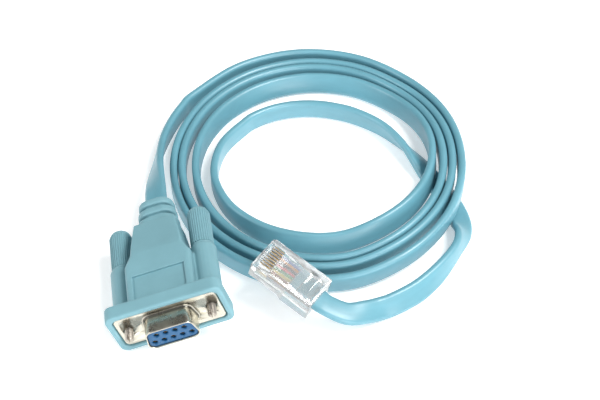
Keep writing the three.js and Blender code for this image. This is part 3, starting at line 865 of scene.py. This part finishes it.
def knob_ribs(x):
    """The grip's ribs: one bar for each, set round the knob by a node tree."""
    sizes = {
        "Rib Count": KNOB_RIBS,
        "Rib Radius": mm(RIB_RADIUS),
        "Rib Length": mm(RIB_END - RIB_START),
        "Knob Radius": mm(KNOB_DIAMETER / 2 - RIB_RADIUS),
    }
    tree = bpy.data.node_groups.new("knob_ribs", "GeometryNodeTree")
    for name, value in sizes.items():
        kind = "NodeSocketInt" if name == "Rib Count" else "NodeSocketFloat"
        tree.interface.new_socket(name, in_out="INPUT", socket_type=kind).default_value = value
    tree.interface.new_socket("Geometry", in_out="OUTPUT", socket_type="NodeSocketGeometry")
    nodes = tree.nodes
    link = tree.links.new
    given = nodes.new("NodeGroupInput")
    circle = nodes.new("GeometryNodeMeshCircle")
    link(given.outputs["Rib Count"], circle.inputs["Vertices"])
    link(given.outputs["Knob Radius"], circle.inputs["Radius"])
    bar = nodes.new("GeometryNodeMeshCylinder")
    bar.inputs["Vertices"].default_value = RIB_SIDES
    link(given.outputs["Rib Radius"], bar.inputs["Radius"])
    link(given.outputs["Rib Length"], bar.inputs["Depth"])
    copies = nodes.new("GeometryNodeInstanceOnPoints")
    link(circle.outputs["Mesh"], copies.inputs["Points"])
    link(bar.outputs["Mesh"], copies.inputs["Instance"])
    real = nodes.new("GeometryNodeRealizeInstances")
    link(copies.outputs["Instances"], real.inputs["Geometry"])
    paint = nodes.new("GeometryNodeSetMaterial")
    paint.inputs["Material"].default_value = MOULDED
    link(real.outputs["Geometry"], paint.inputs["Geometry"])
    link(paint.outputs["Geometry"], nodes.new("NodeGroupOutput").inputs["Geometry"])

    ribs = new_piece("ribs", bpy.data.meshes.new("ribs"))
    modifier = ribs.modifiers.new("ribs", "NODES")
    modifier.node_group = tree
    for item in tree.interface.items_tree:
        if item.in_out == "INPUT":
            modifier[item.identifier] = sizes[item.name]
    with_modifiers(ribs)
    lengthways = Matrix.Rotation(math.radians(90), 4, "X")
    return shade(put(ribs, Matrix.Translation(mm(x, (RIB_START + RIB_END) / 2, 0)) @ lengthways))


def make_knob(name, x):
    """A thumb knob: a plain collar round its screw, a ribbed grip and a domed end."""
    collar = KNOB_DIAMETER / 2
    grip = collar - GRIP_INSET
    dome_start = KNOB_END - DOME_LENGTH
    profile = [(SCREW_BORE / 2, KNOB_START + KNOB_SINK), (SCREW_BORE / 2, KNOB_START)]
    profile += [(collar - inset, KNOB_START + distance) for inset, distance in COLLAR_EDGE]
    profile.append((grip, RIB_START))
    profile += [
        (max(grip * math.cos(a) ** DOME_POWER, DOME_TIP), dome_start + DOME_LENGTH * math.sin(a))
        for a in sweep(90, DOME_STEPS)
    ]
    core = turned(name, profile, MOULDED, x)
    return put(join(core, knob_ribs(x)), CONNECTOR)


def make_screw(name, x):
    """A screw with a chamfered tip, a thread, a plain shank and a slot across its tip."""
    rings = []
    y = SCREW_TIP
    while y < THREAD_END:
        ring = []
        for i in range(SCREW_SIDES):
            turn = i / SCREW_SIDES
            phase = (y / THREAD_PITCH - turn) % 1.0
            groove = THREAD_DEPTH * abs(2 * phase - 1)
            radius = SCREW_DIAMETER / 2 - max(groove, SCREW_CHAMFER - (y - SCREW_TIP))
            a = 2 * math.pi * turn
            ring.append(mm(x + radius * math.cos(a), y, radius * math.sin(a)))
        rings.append(ring)
        y += THREAD_PITCH / THREAD_STEPS
    plain = (SCREW_DIAMETER - THREAD_DEPTH) / 2
    rings += [round_ring(plain, y, x, 0, SCREW_SIDES) for y in (SHANK_START, SHANK_END)]
    screw = piece_from_bmesh(name, rings_mesh(rings), STEEL)
    slot = block_piece(
        "slot", (x - SLOT_WIDTH / 2, SCREW_TIP - SLOT_DEPTH, -SLOT_CUT_PAST),
        (x + SLOT_WIDTH / 2, SCREW_TIP + SLOT_DEPTH, SLOT_CUT_PAST), STEEL,
    )
    return put(shade(cut(screw, slot)), CONNECTOR)


for side, x in (("left", -SCREW_X), ("right", SCREW_X)):
    knob = make_knob(f"{side}_thumb_knob", x)
    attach(knob, f"thumbscrew_{side}")
    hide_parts(f"{side}_knob")
    screw = make_screw(f"{side}_threaded_screw", x)
    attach(screw, f"thumbscrew_{side}")
    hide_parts(f"{side}_screw")


def softened(node, name, material, bevel, place, *tools):
    """A CAD node's piece with tool pieces cut out of it and its edges finely rounded."""
    piece = cut(cad_copy(node, name, material, place, flatten=True), *tools)
    with_modifiers(piece, ("BEVEL", {
        "width": mm(bevel), "segments": 2, "limit_method": "ANGLE",
        "angle_limit": math.radians(BEVEL_ANGLE), "use_clamp_overlap": True,
    }))
    return put(shade(piece), place)


def crimp_mark(start):
    """A wedge-shaped pocket across the top face, deep at its rear wall."""
    width, length, depth = CRIMP
    low = PLUG_REAR + start
    high = low + length
    side = ((low, CRIMP_CUT_PAST), (low, -depth), (high, 0.0), (high, CRIMP_CUT_PAST))
    rings = [[mm(x, y, z) for y, z in side] for x in (-width / 2, width / 2)]
    return piece_from_bmesh("crimp", rings_mesh(rings), CLEAR)


crimp_marks = [crimp_mark(start) for start in CRIMP_STARTS]
plug_body = softened("rj45_body", "plug_body", CLEAR, BODY_BEVEL, PLUG, *crimp_marks)
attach(plug_body, "root")
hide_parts("rj45_body")
latch = softened("rj45_latch", "plug_latch", CLEAR, LATCH_BEVEL, PLUG)
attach(latch, "latch")
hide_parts("rj45_latch")


def painted(node, material):
    """A CAD node that keeps its own mesh, with its finish."""
    piece = bpy.data.objects[node]
    for entry in piece.material_slots:
        entry.material = material
    return piece


for i in range(sum(SOCKETS_IN_ROW)):
    painted(f"socket_contact_{i + 1}", GOLD)
blades = [painted(f"rj45_contact_{i + 1}", GOLD) for i in range(len(WIRES))]
conductors = [painted(f"conductor_{i + 1}", wire) for i, wire in enumerate(WIRES)]
mm(CABLE_WIDTH)


def make_floor():
    """A wide white sheet, just under the object."""
    bm = bmesh.new()
    bmesh.ops.create_grid(bm, x_segments=8, y_segments=8, size=FLOOR_REACH)
    floor = piece_from_bmesh("floor", bm, floor_paint())
    floor.location.z = -FLOOR_DROP


def make_card():
    """A black card behind and above the connector, out of view, for the dark band in its metal."""
    centre = Vector(CARD_PLACE)
    facing = (Vector(CARD_AIM) - centre).to_track_quat("Z", "Y").to_matrix().to_4x4()
    shape = Matrix.Translation(centre) @ facing @ Matrix.Diagonal((*CARD_SIZE, 1, 1))
    bm = bmesh.new()
    bmesh.ops.create_grid(bm, x_segments=1, y_segments=1, size=0.5, matrix=shape)
    piece_from_bmesh("flag", bm, Paint("black_card", Base_Color=rgba(CARD_COLOUR)).material)


make_floor()
make_card()

world = bpy.data.worlds.new("studio")
world.use_nodes = True
backdrop = world.node_tree.nodes["Background"]
backdrop.inputs["Color"].default_value = (1, 1, 1, 1)
backdrop.inputs["Strength"].default_value = WORLD_STRENGTH
bpy.context.scene.world = world
bpy.context.scene.view_settings.view_transform = "Standard"
